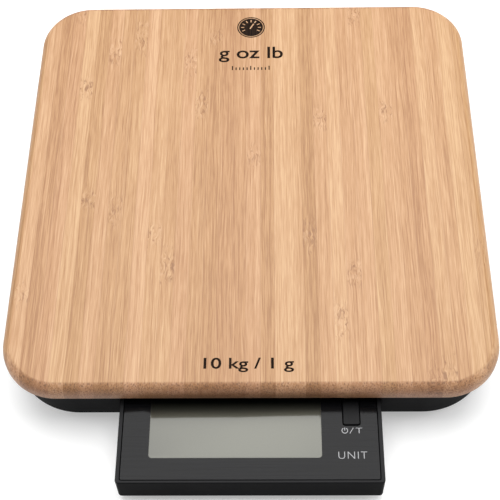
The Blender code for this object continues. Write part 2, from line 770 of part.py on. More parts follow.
def build_circuit():
    board = block("display_pcb", "circuit", (0, PLATE_Y), PCB_SIZE, PCB_LOW, PCB_HIGH)

    def holes(bm):
        for spot in display_screw_places():
            add_rod(bm, spot, SCREW_R + GAP, PCB_LOW - MM, PCB_HIGH + MM, 12)

    cut(board, "pcb_holes", holes)
    bm = bmesh.new()
    dome = [(0, PCB_LOW - GAP), (5 * MM, PCB_LOW - GAP), (4.4 * MM, PCB_LOW - 1.1 * MM),
            (2.6 * MM, PCB_LOW - 1.7 * MM), (0, PCB_LOW - 1.9 * MM)]
    add_turned(bm, (-20 * MM, PLATE_Y), dome, 20)
    chip = finish(bm, "chip_cover", "epoxy")
    switches = []
    for name, y in (("tare_switch", TARE_Y), ("unit_switch", UNIT_Y)):
        bm = bmesh.new()
        plunger = 0.6 * MM
        shoulder = 0.3 * MM
        add_block(bm, (KEY_X, y), (SWITCH_SIZE, SWITCH_SIZE), PCB_HIGH + GAP,
                  SWITCH_HIGH - plunger - shoulder)
        step_edge(bm, 1, SWITCH_SIZE * 0.22, shoulder)
        step_edge(bm, 1, plunger * 0.1, plunger)
        switches.append(finish(bm, name, "epoxy"))
    fixings = screws("display_screw", display_screw_places(), 2.2 * MM,
                     PCB_HIGH + GAP, PCB_HIGH + 1.2 * MM, PCB_LOW - 2.2 * MM)
    return board, chip, *switches, *fixings


def build_tare_key():
    bm = bmesh.new()
    edge = 0.4 * MM
    add_block(bm, (KEY_X, TARE_Y), TARE_SIZE, COVER_LOW - 0.6 * MM,
              DRAWER_TOP + TARE_PROUD - edge, 1.0 * MM)
    round_edge(bm, 1, edge, 2)
    key = finish(bm, "tare_key", "key_black")

    def flange(bm):
        size = [side + 3.2 * MM for side in TARE_SIZE]
        add_block(bm, (KEY_X, TARE_Y), size, COVER_LOW - 1.6 * MM, COVER_LOW - 0.5 * MM, 2 * MM)

    def stem(bm):
        add_rod(bm, (KEY_X, TARE_Y), 2.5 * MM, KEY_FOOT, COVER_LOW - 1.0 * MM)

    join(key, "tare_flange", flange)
    join(key, "tare_stem", stem)
    hang(empty("tare_key_press", at(KEY_X, TARE_Y, KEY_FOOT)), key)
    return key


def build_unit_key():
    under = COVER_LOW - 0.5 * MM
    profile = [(0, COVER_HIGH), (3.1 * MM, COVER_HIGH), (3.1 * MM, under),
               (4.6 * MM, under), (4.6 * MM, under - MM), (2 * MM, under - MM),
               (2 * MM, KEY_FOOT), (0, KEY_FOOT)]
    bm = bmesh.new()
    add_turned(bm, (KEY_X, UNIT_Y), profile, 24)
    key = finish(bm, "unit_key", "key_black")
    hang(empty("unit_key_press", at(KEY_X, UNIT_Y, KEY_FOOT)), key)
    return key


def main():
    moving = empty("platform_load", at(0, 0, PLATFORM_LOW))
    hang(moving, build_platform(), build_bracket(), build_spacer(), *build_platform_screws())
    build_base_shell()
    build_base_deck()
    build_feet()
    build_rails()
    build_load_cell()
    build_base_screws()
    build_battery_bay()
    build_batteries()
    build_contacts()
    build_battery_door()
    build_wiring()
    build_ribbon()
    drawer = empty("display_slide", at(0, DRAWER_FRONT, DRAWER_BOTTOM))
    hang(drawer, build_tray(), *build_cover_and_film(), *build_display(), *build_circuit())
    build_tare_key()
    build_unit_key()


main()
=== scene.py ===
"""Looks of a bamboo kitchen scale with a pull-out display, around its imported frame.

Everything is in metres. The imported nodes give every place: the pieces made here
stand for the ones that show, with finer edges, and ride on the same bodies.
"""

import math

import bmesh
import bpy
from mathutils import Matrix, Vector


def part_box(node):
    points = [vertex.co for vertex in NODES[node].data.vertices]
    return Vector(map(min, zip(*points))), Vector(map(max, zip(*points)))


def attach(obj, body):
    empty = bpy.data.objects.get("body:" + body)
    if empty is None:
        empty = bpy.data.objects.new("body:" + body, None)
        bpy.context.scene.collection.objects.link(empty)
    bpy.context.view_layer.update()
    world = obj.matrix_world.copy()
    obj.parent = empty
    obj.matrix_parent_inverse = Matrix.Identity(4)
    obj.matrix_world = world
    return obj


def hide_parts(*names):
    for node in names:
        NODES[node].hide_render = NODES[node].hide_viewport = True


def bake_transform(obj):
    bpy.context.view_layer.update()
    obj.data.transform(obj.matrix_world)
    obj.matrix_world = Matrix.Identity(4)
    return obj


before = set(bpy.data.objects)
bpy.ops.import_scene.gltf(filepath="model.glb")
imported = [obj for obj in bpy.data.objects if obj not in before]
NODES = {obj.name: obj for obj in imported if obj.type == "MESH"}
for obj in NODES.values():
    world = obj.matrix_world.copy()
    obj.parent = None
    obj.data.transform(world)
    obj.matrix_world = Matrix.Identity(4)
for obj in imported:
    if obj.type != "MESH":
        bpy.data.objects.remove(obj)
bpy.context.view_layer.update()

MM = 0.001

# Shapes that the boxes of the nodes don't give.
PLATFORM_CORNER = 26.0 * MM
BEVEL_INSET = 4.1 * MM
BEVEL_DROP = 5.6 * MM
UNDER_ROUND = 2.5 * MM
BASE_CORNER = 32.7 * MM
BASE_WALL = 1.8 * MM
BASE_FLOOR = 1.5 * MM
BASE_EDGE = 3.0 * MM
TRAY_CORNER = 1.5 * MM
RIM_SIDE = 1.8 * MM
WINDOW_CORNER = 1.6 * MM
KEY_CORNER = 1.0 * MM
STRIP_WIDTH = 6.7 * MM
MARK_SINK = 0.01 * MM
MARK_THICK = 0.03 * MM
LEGEND_SINK = 0.008 * MM
LEGEND_THICK = 0.02 * MM

FLOOR_HALF = 12.0

# Edges over this angle, in degrees, are shaded sharp, and points this close are merged.
SHARP = 32
MERGE = 1e-6

# The camera: its place from the middle of the board's top, and its angles in degrees.
CAMERA_FROM_TOP = Vector((10.0 * MM, -337.1 * MM, 461.3 * MM))
CAMERA_YAW = 2.0
CAMERA_DOWN = 57.48
CAMERA_ROLL = -1.99


def box(node):
    low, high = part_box(node)
    return Vector(low), Vector(high)


def middle(node):
    low, high = box(node)
    return (low + high) / 2


PLATFORM_LOW, PLATFORM_HIGH = box("bamboo_platform")
PLATFORM_MID = middle("bamboo_platform")
BASE_LOW, BASE_HIGH = box("base_shell")
FILM_LOW, FILM_HIGH = box("overlay_film")
LENS_LOW, LENS_HIGH = box("window_lens")
TRAY_LOW, TRAY_HIGH = box("display_tray")
KEY_LOW, KEY_HIGH = box("tare_key")
UNIT_MID = middle("unit_key")


# ------------------------------------------------------------- node helpers

class Graph:
    """Builds one material's nodes with short calls."""

    def __init__(self, name):
        self.material = bpy.data.materials.new(name)
        self.material.use_nodes = True
        self.tree = self.material.node_tree
        self.shader = self.tree.nodes["Principled BSDF"]
        self.column = 0

    def add(self, kind, **settings):
        node = self.tree.nodes.new(kind)
        self.column += 1
        node.location = (-220 * (self.column % 12) - 250, -180 * (self.column // 12))
        for key, value in settings.items():
            setattr(node, key, value)
        return node

    def wire(self, source, target):
        """Set a socket to a number or colour, or link another node's output to it."""
        if isinstance(source, (int, float, tuple)):
            target.default_value = source
        else:
            self.tree.links.new(source, target)

    def math(self, operation, *values):
        node = self.add("ShaderNodeMath", operation=operation)
        for value, socket in zip(values, node.inputs):
            self.wire(value, socket)
        return node.outputs[0]

    def vector(self, operation, *values):
        node = self.add("ShaderNodeVectorMath", operation=operation)
        for value, socket in zip(values, node.inputs):
            self.wire(value, socket)
        return node.outputs[0]

    def place(self):
        return self.add("ShaderNodeTexCoord").outputs["Object"]

    def normal(self):
        return self.add("ShaderNodeNewGeometry").outputs["Normal"]

    def split(self, vector):
        node = self.add("ShaderNodeSeparateXYZ")
        self.wire(vector, node.inputs[0])
        return node.outputs

    def join(self, x, y, z):
        node = self.add("ShaderNodeCombineXYZ")
        for value, socket in zip((x, y, z), node.inputs):
            self.wire(value, socket)
        return node.outputs[0]

    def noise(self, vector, scale=1.0, detail=2.0, rough=0.5, distortion=0.0):
        node = self.add("ShaderNodeTexNoise")
        self.wire(vector, node.inputs["Vector"])
        node.inputs["Scale"].default_value = scale
        node.inputs["Detail"].default_value = detail
        node.inputs["Roughness"].default_value = rough
        node.inputs["Distortion"].default_value = distortion
        return node.outputs["Fac"]

    def voronoi(self, vector):
        node = self.add("ShaderNodeTexVoronoi")
        self.wire(vector, node.inputs["Vector"])
        node.inputs["Scale"].default_value = 1.0
        return node.outputs["Distance"]

    def random(self, value, shift=0.0):
        """Three random numbers for each whole value."""
        node = self.add("ShaderNodeTexWhiteNoise", noise_dimensions="1D")
        self.wire(self.math("ADD", value, shift), node.inputs["W"])
        return self.split(node.outputs["Color"])

    def span(self, value, low, high, to_low=0.0, to_high=1.0, smooth=False):
        """Map low..high to to_low..to_high, held at both ends."""
        node = self.add("ShaderNodeMapRange")
        node.interpolation_type = "SMOOTHSTEP" if smooth else "LINEAR"
        self.wire(value, node.inputs["Value"])
        node.inputs["From Min"].default_value = low
        node.inputs["From Max"].default_value = high
        node.inputs["To Min"].default_value = to_low
        node.inputs["To Max"].default_value = to_high
        return node.outputs[0]

    def ramp(self, value, stops):
        node = self.add("ShaderNodeValToRGB")
        self.wire(value, node.inputs[0])
        elements = node.color_ramp.elements
        while len(elements) < len(stops):
            elements.new(0.5)
        for element, (position, colour) in zip(elements, stops):
            element.position = position
            element.color = (*colour, 1.0)
        return node.outputs[0]

    def mix(self, factor, first, second, blend="MIX"):
        node = self.add("ShaderNodeMix", data_type="RGBA", blend_type=blend)
        self.wire(factor, node.inputs["Factor"])
        self.wire(first, node.inputs[6])
        self.wire(second, node.inputs[7])
        return node.outputs[2]

    def bump(self, height, distance, strength):
        node = self.add("ShaderNodeBump")
        node.inputs["Strength"].default_value = strength
        node.inputs["Distance"].default_value = distance
        self.wire(height, node.inputs["Height"])
        return node.outputs[0]

    def set(self, **values):
        """Set or wire the shader's own sockets: Base_Color for Base Color."""
        for key, value in values.items():
            self.wire(value, self.shader.inputs[key.replace("_", " ")])
        return self.material


def rgb(red, green, blue):
    return (red, green, blue, 1.0)


# ---------------------------------------------------------------- materials

def bamboo_material():
    """Upright strips glued side by side, with fibres running front to back.

    The pattern is solid: streaks along Y on the top, dots where an edge cuts
    across the fibres, and a knuckle here and there on a strip.
    """
    g = Graph("bamboo")
    spot = g.place()
    x, y, z = g.split(spot)
    across = g.math("DIVIDE", x, STRIP_WIDTH)
    strip = g.math("FLOOR", g.math("ADD", across, 0.31))
    inside = g.math("FRACT", g.math("ADD", across, 0.31))
    tone, hue, where = g.random(strip)
    shift, size, keep = g.random(strip, 40.5)

    # Knuckles: one zone on most strips, at a place of its own.
    knuckle_y = g.span(where, 0, 1, PLATFORM_LOW.y - 0.03, PLATFORM_HIGH.y + 0.03)
    away = g.math("DIVIDE", g.math("ABSOLUTE", g.math("SUBTRACT", y, knuckle_y)),
                  g.span(size, 0, 1, 6.5 * MM, 12.0 * MM))
    ragged = g.noise(g.vector("MULTIPLY", spot, (600, 220, 300)), detail=1.0)
    away = g.math("ADD", away, g.span(ragged, 0.3, 0.7, -0.45, 0.45))
    knuckle = g.span(away, 0.15, 1.15, 1.0, 0.0, smooth=True)
    knuckle = g.math("MULTIPLY", knuckle, g.span(keep, 0.10, 0.25))

    # Fibres: each strip's pattern is moved along, wanders a little, and bends at knuckles.
    wander = g.noise(g.vector("MULTIPLY", spot, (150, 12, 150)), detail=2.0)
    wander = g.span(wander, 0.3, 0.7, -0.6 * MM, 0.6 * MM)
    bend = g.noise(g.vector("MULTIPLY", spot, (520, 210, 520)), detail=1.0)
    bend = g.math("MULTIPLY", g.span(bend, 0.3, 0.7, -0.8 * MM, 0.8 * MM), knuckle)
    fibre_x = g.math("ADD", x, g.math("ADD", bend, wander))
    fibre_y = g.math("ADD", y, g.math("MULTIPLY", shift, 3.0))
    flow = g.join(fibre_x, fibre_y, z)
    broad = g.noise(g.vector("MULTIPLY", flow, (420, 7, 420)), detail=2.0)
    streak = g.noise(g.vector("MULTIPLY", flow, (1150, 11, 1150)), detail=2.0, rough=0.6)
    fine = g.noise(g.vector("MULTIPLY", flow, (2500, 36, 2500)), detail=2.0, rough=0.6)

    # Colour: a tone for each strip, then the fibres over it.
    value = g.math("ADD", g.span(tone, 0, 1, 0.27, 0.71), g.span(broad, 0.3, 0.7, -0.12, 0.12))
    value = g.math("ADD", value, g.span(streak, 0.3, 0.7, -0.17, 0.17))
    value = g.math("ADD", value, g.span(fine, 0.3, 0.7, -0.28, 0.28))
    speck = g.noise(g.vector("MULTIPLY", flow, (2600, 120, 2600)), detail=1.0)
    value = g.math("ADD", value, g.span(speck, 0.3, 0.7, -0.16, 0.16))
    colour = g.ramp(value, [
        (0.05, (0.296, 0.145, 0.061)),
        (0.35, (0.382, 0.208, 0.097)),
        (0.60, (0.434, 0.249, 0.127)),
        (0.95, (0.515, 0.325, 0.184)),
    ])
    pink = g.mix(1.0, colour, rgb(1.015, 0.985, 0.990), "MULTIPLY")
    gold = g.mix(1.0, colour, rgb(1.00, 1.010, 0.940), "MULTIPLY")
    colour = g.mix(hue, pink, gold)

    # Knuckle marks: the fibres turn aside in short dark and pale flecks.
    flecks = g.noise(g.vector("MULTIPLY", flow, (1250, 240, 1250)), detail=2.0, distortion=0.4)
    dark = g.math("MULTIPLY", g.span(flecks, 0.52, 0.66, smooth=True), knuckle)
    colour = g.mix(g.math("MULTIPLY", dark, 0.80), colour, rgb(0.225, 0.104, 0.046))
    light = g.math("MULTIPLY", g.span(flecks, 0.47, 0.36, smooth=True), knuckle)
    colour = g.mix(g.math("MULTIPLY", light, 0.30), colour, rgb(0.55, 0.355, 0.215))

    # Glue lines between strips.
    line = g.math("MINIMUM", inside, g.math("SUBTRACT", 1.0, inside))
    line = g.span(line, 0.012, 0.05, 1.0, 0.0, smooth=True)
    line = g.math("MULTIPLY", line, g.span(size, 0.2, 1.0, 0.0, 0.38))
    colour = g.mix(line, colour, rgb(0.30, 0.155, 0.078))

    # End grain: fibre ends as darker pores where the face turns to +Y or -Y.
    facing = g.math("ABSOLUTE", g.split(g.normal())[1])
    ends = g.span(facing, 0.10, 0.42, smooth=True)
    # Darker still as the face stands upright: partly end-grain tone, partly painted shade on the
    # lower bevel.
    upright_grain_and_shade = g.span(facing, 0.55, 1.0)
    pores = g.voronoi(g.vector("MULTIPLY", flow, (1250, 30, 1350)))
    pores = g.span(pores, 0.26, 0.44, 1.0, 0.0, smooth=True)
    depth = g.span(tone, 0, 1, 0.90, 1.08)
    ground = g.mix(upright_grain_and_shade, g.mix(1.0, colour, rgb(0.90, 0.85, 0.90), "MULTIPLY"),
                   g.mix(1.0, colour, rgb(0.83, 0.74, 0.78), "MULTIPLY"))
    ground = g.mix(1.0, ground, g.join(depth, depth, depth), "MULTIPLY")
    grain = g.mix(g.span(pores, 0, 1, 0.0, 0.58), ground, rgb(0.13, 0.064, 0.038))
    colour = g.mix(ends, colour, grain)

    # The rounded lower edge and the underside are painted near black: painted shade where little
    # light reaches them.
    below = g.span(g.split(g.normal())[2], -0.10, -0.55, smooth=True)
    colour = g.mix(below, colour, rgb(0.008, 0.005, 0.004))

    height = g.math("ADD", streak, g.math("MULTIPLY", pores, g.math("MULTIPLY", ends, -0.8)))
    sheen = g.span(fine, 0.3, 0.7, 0.42, 0.54)
    return g.set(Base_Color=colour, Roughness=sheen, Normal=g.bump(height, 0.04 * MM, 0.45),
                 Specular_IOR_Level=0.40)


def moulded_material(name, colour, rough, specular=0.5, grain=0.02 * MM, scale=5200,
                     top=None):
    """Moulded plastic: a fine eroded texture, and slight differences in sheen.

    With top, a second colour, the faces that look up are paler: a painted reflection of the light
    above.
    """
    g = Graph(name)
    spot = g.place()
    texture = g.noise(spot, scale=scale, detail=2.0)
    drift = g.noise(spot, scale=38, detail=2.0)
    shade = g.mix(g.span(drift, 0.3, 0.7), rgb(*(0.88 * c for c in colour)),
                  rgb(*(1.12 * c for c in colour)))
    sheen = g.math("ADD", g.span(texture, 0.3, 0.7, -0.05, 0.05),
                   g.span(drift, 0.3, 0.7, rough - 0.03, rough + 0.03))
    if top is not None:
        # Painted reflection: faces that look up take the paler top colour.
        painted_reflection_mask = g.span(g.split(g.normal())[2], 0.6, 0.95)
        shade = g.mix(painted_reflection_mask, shade, rgb(*top))
    return g.set(Base_Color=shade, Roughness=sheen, Normal=g.bump(texture, grain, 0.6),
                 Specular_IOR_Level=specular)


def film_material(name, colour, rough=0.13):
    """A printed plastic film: faint hairlines from side to side, and an orange peel."""
    g = Graph(name)
    spot = g.place()
    peel = g.noise(spot, scale=420, detail=1.0)
    hairs = g.noise(g.vector("MULTIPLY", spot, (26, 2300, 2300)), detail=2.0)
    shade = g.mix(g.span(hairs, 0.35, 0.65), rgb(*(0.7 * c for c in colour)),
                  rgb(*(1.4 * c for c in colour)))
    return g.set(Base_Color=shade, Roughness=g.span(hairs, 0.3, 0.7, rough - 0.01, rough + 0.03),
                 Normal=g.bump(peel, 0.01 * MM, 0.06), Specular_IOR_Level=0.14)


def lcd_material():
    """The display behind its window: grey-green, with a fine reflector grain."""
    g = Graph("lcd_window")
    spot = g.place()
    grain = g.noise(spot, scale=2600, detail=2.0)
    cloud = g.noise(spot, scale=30, detail=1.0)
    value = g.math("ADD", g.span(grain, 0.3, 0.7, -0.10, 0.10), g.span(cloud, 0.3, 0.7, 0.42, 0.58))
    colour = g.ramp(value, [(0.2, (0.054, 0.054, 0.043)), (0.8, (0.066, 0.066, 0.053))])
    return g.set(Base_Color=colour, Metallic=1.0, Roughness=0.38, Coat_Weight=1.0,
                 Coat_Roughness=0.08)


def metal_material(name, colour, rough, stretch=(900, 30, 900)):
    """Machined or plated metal, with marks that run one way."""
    g = Graph(name)
    marks = g.noise(g.vector("MULTIPLY", g.place(), stretch), detail=3.0)
    shade = g.mix(marks, rgb(*(0.82 * c for c in colour)), rgb(*colour))
    return g.set(Base_Color=shade, Metallic=1.0,
                 Roughness=g.span(marks, 0.3, 0.7, rough - 0.06, rough + 0.08),
                 Normal=g.bump(marks, 0.01 * MM, 0.3))


def rubber_material():
    g = Graph("foot_rubber")
    spot = g.place()
    dust = g.noise(spot, scale=1500, detail=4.0)
    shade = g.ramp(dust, [(0.35, (0.022, 0.022, 0.023)), (0.75, (0.045, 0.044, 0.043))])
    return g.set(Base_Color=shade, Roughness=g.span(dust, 0.3, 0.7, 0.72, 0.90),
                 Normal=g.bump(dust, 0.03 * MM, 0.5), Specular_IOR_Level=0.3)


def circuit_material():
    """Green solder mask over faint copper tracks."""
    g = Graph("circuit_green")
    spot = g.place()
    x, y, _ = g.split(spot)
    track = g.noise(g.join(g.math("SNAP", x, 0.8 * MM), g.math("SNAP", y, 0.8 * MM), 0.0),
                    scale=210, detail=0.0)
    lines = g.span(track, 0.46, 0.54, smooth=True)
    shade = g.mix(lines, rgb(0.010, 0.085, 0.035), rgb(0.030, 0.170, 0.065))
    return g.set(Base_Color=shade, Roughness=0.32, Normal=g.bump(lines, 0.03 * MM, 0.5))


def print_material(name, colour, rough=0.5):
    """Screen-printed ink, a little uneven at its own scale."""
    g = Graph(name)
    grain = g.noise(g.place(), scale=3500, detail=2.0)
    shade = g.mix(grain, rgb(*(0.86 * c for c in colour)), rgb(*(1.08 * c for c in colour)))
    return g.set(Base_Color=shade, Roughness=rough)


def burnt_material():
    """Laser-burnt wood: dark brown, with the fibres still showing."""
    g = Graph("burnt_mark")
    spot = g.place()
    fibre = g.noise(g.vector("MULTIPLY", spot, (1600, 60, 1600)), detail=3.0)
    shade = g.ramp(fibre, [(0.30, (0.006, 0.004, 0.003)), (0.75, (0.026, 0.015, 0.010))])
    return g.set(Base_Color=shade, Roughness=0.9, Normal=g.bump(fibre, 0.05 * MM, 0.6),
                 Specular_IOR_Level=0.05)


def battery_material():
    """A plain jacket with a lighter band near the plus end and a glossy coat."""
    g = Graph("battery_jacket")
    spot = g.place()
    x = g.split(spot)[0]
    band = g.span(g.math("ABSOLUTE", x), 14.2 * MM, 14.6 * MM, smooth=True)
    scuff = g.noise(spot, scale=500, detail=3.0)
    shade = g.mix(band, rgb(0.030, 0.034, 0.042), rgb(0.42, 0.40, 0.36))
    return g.set(Base_Color=shade, Metallic=0.35, Roughness=g.span(scuff, 0.3, 0.7, 0.22, 0.34),
                 Coat_Weight=0.4)


def floor_material():
    """A white light table: pale, and faintly lit from below."""
    g = Graph("studio_floor")
    speck = g.noise(g.place(), scale=14, detail=2.0)
    shade = g.mix(speck, rgb(0.715, 0.715, 0.715), rgb(0.735, 0.735, 0.73))
    return g.set(Base_Color=shade, Roughness=0.9, Specular_IOR_Level=0.1,
                 Emission_Color=rgb(1, 1, 1), Emission_Strength=0.35)


MATERIALS = {
    "bamboo": bamboo_material(),
    "base": moulded_material("base_plastic", (0.0048, 0.0048, 0.0054), 0.55, 0.035),
    "deck": moulded_material("deck_plastic", (0.006, 0.006, 0.0065), 0.60, 0.15),
    # The drawer's paler top colour on faces that look up is a painted reflection of the softbox.
    "drawer": moulded_material("drawer_plastic", (0.0035, 0.0035, 0.0040), 0.42, 0.01,
                               top=(0.026, 0.026, 0.027)),
    "key": moulded_material("key_plastic", (0.0060, 0.0060, 0.0065), 0.38, 0.10,
                            0.03 * MM, 3600),
    "film": film_material("printed_film", (0.0050, 0.0050, 0.0056)),
    "lcd": lcd_material(),
    "rubber": rubber_material(),
    "circuit": circuit_material(),
    "aluminium": metal_material("machined_aluminium", (0.80, 0.81, 0.82), 0.30),
    "steel": metal_material("plated_steel", (0.60, 0.60, 0.61), 0.32, (60, 700, 60)),
    "screw": metal_material("screw_steel", (0.50, 0.50, 0.52), 0.26, (800, 800, 200)),
    "white_plastic": moulded_material("white_plastic", (0.72, 0.72, 0.69), 0.45),
    "epoxy": moulded_material("black_epoxy", (0.012, 0.012, 0.012), 0.32),
    "silicone": moulded_material("white_silicone", (0.78, 0.78, 0.75), 0.55, 0.4, 0.05 * MM, 900),
    "zebra": moulded_material("zebra_rubber", (0.30, 0.10, 0.12), 0.75, 0.3),
    "cable": moulded_material("cable_insulation", (0.60, 0.60, 0.58), 0.42, 0.5, 0.01 * MM, 900),
    "battery": battery_material(),
    "legend": print_material("legend_ink", (0.36, 0.36, 0.37)),
    "burnt": burnt_material(),
}


# -------------------------------------------------------------- mesh helpers

def outline(centre, size, radius, segments):
    """Points of a rounded rectangle, anticlockwise seen from above."""
    half = (size[0] / 2 - radius, size[1] / 2 - radius)
    corners = ((1, 1, 0), (-1, 1, 90), (-1, -1, 180), (1, -1, 270))
    points = []
    for sx, sy, start in corners:
        for index in range(segments + 1):
            angle = math.radians(start + 90 * index / segments)
            points.append((centre[0] + sx * half[0] + radius * math.cos(angle),
                           centre[1] + sy * half[1] + radius * math.sin(angle)))
    return points


def loft(bm, centre, size, radius, sections, segments=12):
    """Rings of one rounded rectangle, each (inset, height), closed at both ends."""
    rings = []
    for inset, z in sections:
        ring_size = (size[0] - 2 * inset, size[1] - 2 * inset)
        ring_radius = max(radius - inset, 0.02 * MM)
        rings.append([bm.verts.new((px, py, z)) for px, py in
                      outline(centre, ring_size, ring_radius, segments)])
    count = len(rings[0])
    for lower, upper in zip(rings, rings[1:]):
        for index in range(count):
            after = (index + 1) % count
            bm.faces.new((lower[index], lower[after], upper[after], upper[index]))
    bm.faces.new(list(reversed(rings[0])))
    bm.faces.new(rings[-1])
    return bm


def arc(centre, radius, start, stop, steps):
    """(inset, height) points on an arc; angles in degrees, 0 outwards, 90 up."""
    points = []
    for index in range(steps + 1):
        angle = math.radians(start + (stop - start) * index / steps)
        points.append((centre[0] - radius * math.cos(angle),
                       centre[1] + radius * math.sin(angle)))
    return points


def to_object(bm, name, material, angle=SHARP):
    bmesh.ops.recalc_face_normals(bm, faces=bm.faces)
    mesh = bpy.data.meshes.new(name)
    bm.to_mesh(mesh)
    bm.free()
    mesh.shade_smooth()
    mesh.set_sharp_from_angle(angle=math.radians(angle))
    made = bpy.data.objects.new(name, mesh)
    bpy.context.scene.collection.objects.link(made)
    mesh.materials.append(MATERIALS[material])
    return made


def cutter(build):
    """A closed shape to cut with; build adds it to the bmesh it is given."""
    bm = bmesh.new()
    build(bm)
    bmesh.ops.recalc_face_normals(bm, faces=bm.faces)
    mesh = bpy.data.meshes.new("cutter")
    bm.to_mesh(mesh)
    bm.free()
    made = bpy.data.objects.new("cutter", mesh)
    bpy.context.scene.collection.objects.link(made)
    return made


def carve(target, *builds, operation="DIFFERENCE"):
    """Cut shapes out of a piece, or join them to it, and apply the result."""
    tools = []
    for build in builds:
        tool = cutter(build)
        tools.append(tool)
        modifier = target.modifiers.new("carve", "BOOLEAN")
        modifier.operation = operation
        modifier.solver = "EXACT"
        modifier.object = tool
    bake(target)
    for tool in tools:
        bpy.data.objects.remove(tool, do_unlink=True)
    return target


def bake(target):
    """Apply a piece's modifiers to its mesh."""
    bpy.context.view_layer.update()
    evaluated = target.evaluated_get(bpy.context.evaluated_depsgraph_get())
    mesh = bpy.data.meshes.new_from_object(evaluated)
    target.modifiers.clear()
    target.data = mesh
    mesh.shade_smooth()
    mesh.set_sharp_from_angle(angle=math.radians(SHARP))
    return target


def soften(target, width):
    """Round the sharp edges of a piece that was cut, and keep its flat faces even."""
    bevel = target.modifiers.new("soften", "BEVEL")
    bevel.width = width
    bevel.segments = 2
    bevel.limit_method = "ANGLE"
    bevel.angle_limit = math.radians(50)
    bevel.use_clamp_overlap = True
    bevel.miter_outer = "MITER_ARC"
    even = target.modifiers.new("even", "WEIGHTED_NORMAL")
    even.weight = 100
    even.keep_sharp = True
    return bake(target)


def prism(centre, size, radius, low, high, segments=6):
    return lambda bm: loft(bm, centre, size, radius, [(0, low), (0, high)], segments)


def rod(centre, radius, low, high, sides=32):
    """An upright cylinder at a place, as a cutter."""
    def build(bm):
        place = Matrix.Translation((centre[0], centre[1], (low + high) / 2))
        bmesh.ops.create_cone(bm, cap_ends=True, segments=sides, radius1=radius,
                              radius2=radius, depth=high - low, matrix=place)
    return build


def bar(centre, low, high, long, wide, turn):
    """A flat bar turned about Z, as a cutter."""
    def build(bm):
        place = Matrix.Translation((centre.x, centre.y, (low + high) / 2))
        spin = Matrix.Rotation(math.radians(turn), 4, "Z")
        shape = Matrix.Diagonal((long, wide, high - low, 1))
        bmesh.ops.create_cube(bm, size=1.0, matrix=place @ spin @ shape)
    return build


def turned(name, material, centre, profile, sides=32):
    """A turned piece: (radius, height) points from axis to axis."""
    bm = bmesh.new()
    ring = [bm.verts.new((centre[0] + r, centre[1], z)) for r, z in profile]
    edges = [bm.edges.new(pair) for pair in zip(ring, ring[1:])]
    bmesh.ops.spin(bm, geom=ring + edges, cent=(centre[0], centre[1], 0), axis=(0, 0, 1),
                   angle=2 * math.pi, steps=sides, use_merge=True)
    bmesh.ops.remove_doubles(bm, verts=bm.verts, dist=MERGE)
    return to_object(bm, name, material, SHARP)


def stand_for(piece, body, slot, *nodes):
    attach(piece, body)
    if nodes:
        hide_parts(*nodes)
    return piece


# ----------------------------------------------------------------- platform

def build_platform():
    """The board: crisp top edge, convex bevel, short land, rounded underside."""
    centre = (PLATFORM_MID.x, PLATFORM_MID.y)
    size = (PLATFORM_HIGH.x - PLATFORM_LOW.x, PLATFORM_HIGH.y - PLATFORM_LOW.y)
    top, bottom = PLATFORM_HIGH.z, PLATFORM_LOW.z
    radius = (BEVEL_INSET ** 2 + BEVEL_DROP ** 2) / (2 * BEVEL_INSET)
    turn = math.degrees(math.asin(BEVEL_DROP / radius))
    nick = 0.25 * MM
    under = arc((UNDER_ROUND, bottom + UNDER_ROUND), UNDER_ROUND, -90, 0, 6)
    bevel = arc((radius, top - BEVEL_DROP), radius, 0, turn - 2.2, 10)
    crisp = arc((BEVEL_INSET + nick, top - nick), nick, turn + 4, 90, 2)
    bm = loft(bmesh.new(), centre, size, PLATFORM_CORNER, under + bevel + crisp, 28)
    board = to_object(bm, "platform_board", "bamboo", 24)
    stand_for(board, "platform", "bamboo", "bamboo_platform")


def text_mesh(name, words, height, centre, z, material, width, thick, spacing=1.0,
              weight=0.0):
    """Flat lettering, scaled to its whole height and width, and set on its centre."""
    curve = bpy.data.curves.new(name, "FONT")
    curve.body = words
    curve.space_character = spacing
    curve.align_x = "CENTER"
    curve.offset = weight
    curve.resolution_u = 6
    helper = bpy.data.objects.new(name, curve)
    bpy.context.scene.collection.objects.link(helper)
    bpy.context.view_layer.update()
    mesh = bpy.data.meshes.new_from_object(
        helper.evaluated_get(bpy.context.evaluated_depsgraph_get()))
    bpy.data.objects.remove(helper, do_unlink=True)
    return flat_mark(name, mesh, height, centre, z, material, width, thick)


def thicken(bm, thick):
    """Turn flat faces upwards, and raise a copy of them as the top of a closed body."""
    bmesh.ops.recalc_face_normals(bm, faces=bm.faces)
    for face in bm.faces:
        if face.normal.z < 0:
            face.normal_flip()
    grown = bmesh.ops.extrude_face_region(bm, geom=list(bm.faces))
    lifted = [item for item in grown["geom"] if isinstance(item, bmesh.types.BMVert)]
    bmesh.ops.translate(bm, vec=(0, 0, thick), verts=lifted)


def flat_mark(name, mesh, height, centre, z, material, width, thick):
    """Fit a flat mesh to a box on a face, and give it a little thickness."""
    xs = [v.co.x for v in mesh.vertices]
    ys = [v.co.y for v in mesh.vertices]
    scale_y = height / (max(ys) - min(ys))
    scale_x = width / (max(xs) - min(xs))
    shift = Vector(((max(xs) + min(xs)) / 2, (max(ys) + min(ys)) / 2, 0))
    bm = bmesh.new()
    bm.from_mesh(mesh)
    bpy.data.meshes.remove(mesh)
    for vertex in bm.verts:
        local = vertex.co - shift
        vertex.co = Vector((centre[0] + local.x * scale_x, centre[1] + local.y * scale_y, z))
    bmesh.ops.remove_doubles(bm, verts=bm.verts, dist=MERGE)
    thicken(bm, thick)
    return to_object(bm, name, material)


